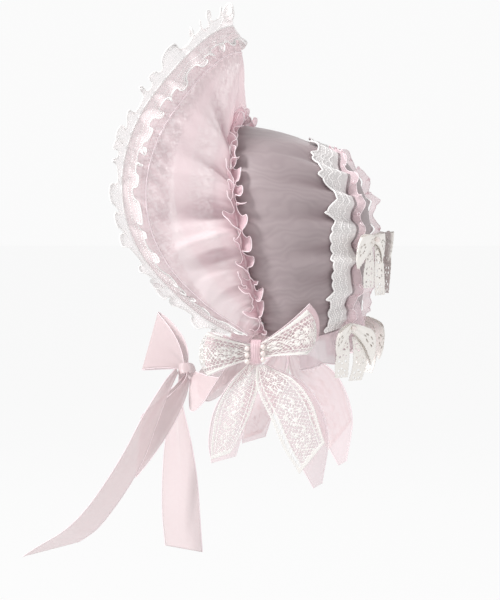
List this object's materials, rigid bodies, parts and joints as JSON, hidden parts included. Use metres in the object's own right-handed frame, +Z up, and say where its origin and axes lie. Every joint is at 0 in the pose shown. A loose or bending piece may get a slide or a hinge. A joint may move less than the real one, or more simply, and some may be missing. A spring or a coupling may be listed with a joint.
{
  "type": "lolita bonnet",
  "caption": "Sheer pale pink organza bonnet with a tall gathered brim, white lace edges, lace side bows, small back bows and long ribbon ties under the chin.",
  "frame": {"origin": "where the top of the wearer's head touches the inside of the crown, on the middle line", "axes": "+Z up, the wearer faces -Y, +X is the wearer's left"},
  "size_m": [0.2714, 0.3745, 0.5762],
  "materials": {
    "crown_organza": "sheer",
    "brim_organza": "sheer",
    "pink_ruffle": "sheer",
    "white_lace": "matte",
    "bow_lace": "matte",
    "bow_organza": "sheer",
    "tie_organza": "sheer",
    "ivory_ribbon": "satin",
    "bead": "pearl"
  },
  "bodies": {
    "root": {"back_lace": "white_lace", "back_tulle": "pink_ruffle", "brim": "brim_organza", "brim_lace": "white_lace", "crown": "crown_organza", "inner_lace": "white_lace", "left_bow_bead_1": "bead", "left_bow_bead_2": "bead", "left_bow_bead_3": "bead", "left_bow_bead_4": "bead", "left_bow_bead_5": "bead", "left_bow_bead_6": "bead", "left_bow_knot": "pink_ruffle", "left_bow_lace": "bow_lace", "left_bow_organza": "bow_organza", "left_lower_back_bow": "ivory_ribbon", "left_lower_back_bow_bead": "bead", "left_lower_back_bow_tail_inner": "ivory_ribbon", "left_lower_back_bow_tail_outer": "ivory_ribbon", "left_tail_lace_back": "bow_lace", "left_tail_lace_front": "bow_lace", "left_tail_organza_back": "bow_organza", "left_tail_organza_front": "bow_organza", "left_tie": "tie_organza", "left_upper_back_bow": "ivory_ribbon", "left_upper_back_bow_bead": "bead", "left_upper_back_bow_tail_inner": "ivory_ribbon", "left_upper_back_bow_tail_outer": "ivory_ribbon", "neck_frill": "bow_organza", "right_bow_bead_1": "bead", "right_bow_bead_2": "bead", "right_bow_bead_3": "bead", "right_bow_bead_4": "bead", "right_bow_bead_5": "bead", "right_bow_bead_6": "bead", "right_bow_knot": "pink_ruffle", "right_bow_lace": "bow_lace", "right_bow_organza": "bow_organza", "right_lower_back_bow": "ivory_ribbon", "right_lower_back_bow_bead": "bead", "right_lower_back_bow_tail_inner": "ivory_ribbon", "right_lower_back_bow_tail_outer": "ivory_ribbon", "right_tail_lace_back": "bow_lace", "right_tail_lace_front": "bow_lace", "right_tail_organza_back": "bow_organza", "right_tail_organza_front": "bow_organza", "right_tie": "tie_organza", "right_upper_back_bow": "ivory_ribbon", "right_upper_back_bow_bead": "bead", "right_upper_back_bow_tail_inner": "ivory_ribbon", "right_upper_back_bow_tail_outer": "ivory_ribbon", "seam_ruffle": "pink_ruffle", "tie_knot": "tie_organza", "tie_loop_left": "tie_organza", "tie_loop_right": "tie_organza", "tie_tail_left": "tie_organza", "tie_tail_right": "tie_organza"}
  },
  "joints": []
}
